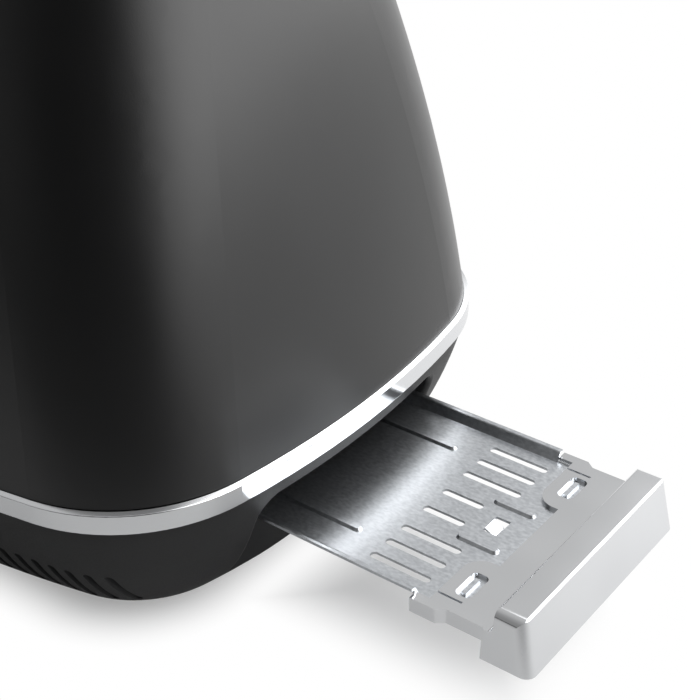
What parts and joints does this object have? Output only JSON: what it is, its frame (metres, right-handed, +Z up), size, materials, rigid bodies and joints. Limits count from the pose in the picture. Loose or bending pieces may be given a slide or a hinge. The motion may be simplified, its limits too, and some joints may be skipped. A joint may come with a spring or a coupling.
{
  "type": "pop-up toaster",
  "caption": "Slim pop-up toaster with a bowed black shell, chrome ring, working lift lever, browning dial, push buttons and a crumb tray drawn part way out.",
  "frame": {"origin": "on the table plane under the middle of the whole part's box, with the crumb tray drawn out as it stands at rest", "axes": "+X along the length, towards the end where the crumb tray comes out; +Z up; the controls face -X"},
  "size_m": [0.392, 0.1984, 0.2059],
  "materials": {
    "painted_shell": "satin black enamel over steel",
    "base_plastic": "satin charcoal, finely textured",
    "deck_plastic": "satin black heat-resistant plastic",
    "chrome": "bright plated",
    "tray_steel": "brushed tinned sheet",
    "sheet_steel": "galvanised sheet",
    "reflector_sheet": "bright rolled",
    "rubber": "matt",
    "mica": "pressed mica board",
    "heating_ribbon": "oxidised resistance ribbon",
    "control_gloss": "gloss black",
    "control_satin": "satin grey-black",
    "board_green": "circuit board lacquer",
    "component_black": "moulded housings",
    "copper": "enamelled copper winding",
    "spring_steel": "oiled spring wire"
  },
  "bodies": {
    "body": {"outer_shell": "painted_shell", "top_deck": "deck_plastic", "chrome_ring": "chrome", "bread_slot_trims": "chrome", "dial_bezel": "chrome", "button_rings": "chrome", "base_moulding": "base_plastic", "rubber_feet": "rubber", "cord_gland": "rubber", "base_screws": "sheet_steel", "front_tray_rail": "sheet_steel", "rear_tray_rail": "sheet_steel", "chassis_plate": "sheet_steel", "tray_end_frame": "sheet_steel", "lever_end_frame": "sheet_steel", "magnet_core": "sheet_steel", "magnet_bracket": "sheet_steel", "heat_shield": "sheet_steel", "front_reflector": "reflector_sheet", "rear_reflector": "reflector_sheet", "front_mica_board": "mica", "middle_mica_board": "mica", "rear_mica_board": "mica", "front_heating_wire": "heating_ribbon", "middle_heating_wire": "heating_ribbon", "rear_heating_wire": "heating_ribbon", "guide_rods": "spring_steel", "lift_spring": "spring_steel", "magnet_coil": "copper", "control_panel": "control_gloss", "lever_slot_trim": "control_gloss", "control_board": "board_green", "browning_control": "component_black", "button_switches": "component_black", "board_components": "component_black", "mains_contacts": "component_black", "terminal_block": "component_black"},
    "tray": {"crumb_tray": "tray_steel", "tray_handle": "chrome"},
    "lift": {"carriage": "sheet_steel", "latch_keeper": "sheet_steel", "front_bread_rack": "sheet_steel", "rear_bread_rack": "sheet_steel", "lever_knob": "control_satin"},
    "front_outer_cage": {"front_outer_guide": "spring_steel"},
    "front_inner_cage": {"front_inner_guide": "spring_steel"},
    "rear_inner_cage": {"rear_inner_guide": "spring_steel"},
    "rear_outer_cage": {"rear_outer_guide": "spring_steel"},
    "dial": {"browning_dial": "control_satin", "dial_shaft": "spring_steel"},
    "cancel": {"cancel_button": "control_satin"},
    "reheat": {"reheat_button": "control_satin"},
    "defrost": {"defrost_button": "control_satin"},
    "one_side": {"one_side_button": "control_satin"}
  },
  "joints": [
    {"name": "tray_slide", "type": "slide", "parent": "body", "child": "tray", "axis": [1, 0, 0], "range_m": [-0.083, 0.06]},
    {"name": "lift_slide", "type": "slide", "parent": "body", "child": "lift", "axis": [0, 0, 1], "range_m": [-0.06, 0], "stiffness_N_per_m": 60, "springref_m": 0.05, "deforming": ["lift_spring"]},
    {"name": "front_outer_close", "type": "slide", "parent": "body", "child": "front_outer_cage", "axis": [0, 1, 0], "range_m": [0, 0.00301]},
    {"name": "front_inner_close", "type": "slide", "parent": "body", "child": "front_inner_cage", "axis": [0, 1, 0], "range_m": [-0.00301, 0]},
    {"name": "rear_inner_close", "type": "slide", "parent": "body", "child": "rear_inner_cage", "axis": [0, 1, 0], "range_m": [0, 0.00301]},
    {"name": "rear_outer_close", "type": "slide", "parent": "body", "child": "rear_outer_cage", "axis": [0, 1, 0], "range_m": [-0.00301, 0]},
    {"name": "dial_turn", "type": "hinge", "parent": "body", "child": "dial", "pos_m": [-0.178, 0, 0.0758], "axis": [-1, 0, 0], "range_deg": [-135, 135]},
    {"name": "cancel_press", "type": "slide", "parent": "body", "child": "cancel", "axis": [1, 0, 0], "range_m": [0, 0.0018], "stiffness_N_per_m": 400, "springref_m": -0.001},
    {"name": "reheat_press", "type": "slide", "parent": "body", "child": "reheat", "axis": [1, 0, 0], "range_m": [0, 0.0018], "stiffness_N_per_m": 400, "springref_m": -0.001},
    {"name": "defrost_press", "type": "slide", "parent": "body", "child": "defrost", "axis": [1, 0, 0], "range_m": [0, 0.0018], "stiffness_N_per_m": 400, "springref_m": -0.001},
    {"name": "one_side_press", "type": "slide", "parent": "body", "child": "one_side", "axis": [1, 0, 0], "range_m": [0, 0.0018], "stiffness_N_per_m": 400, "springref_m": -0.001}
  ],
  "couplings": [
    {"joint": "front_outer_close", "follows": "lift_slide", "ratio": -0.05},
    {"joint": "front_inner_close", "follows": "lift_slide", "ratio": 0.05},
    {"joint": "rear_inner_close", "follows": "lift_slide", "ratio": -0.05},
    {"joint": "rear_outer_close", "follows": "lift_slide", "ratio": 0.05}
  ]
}
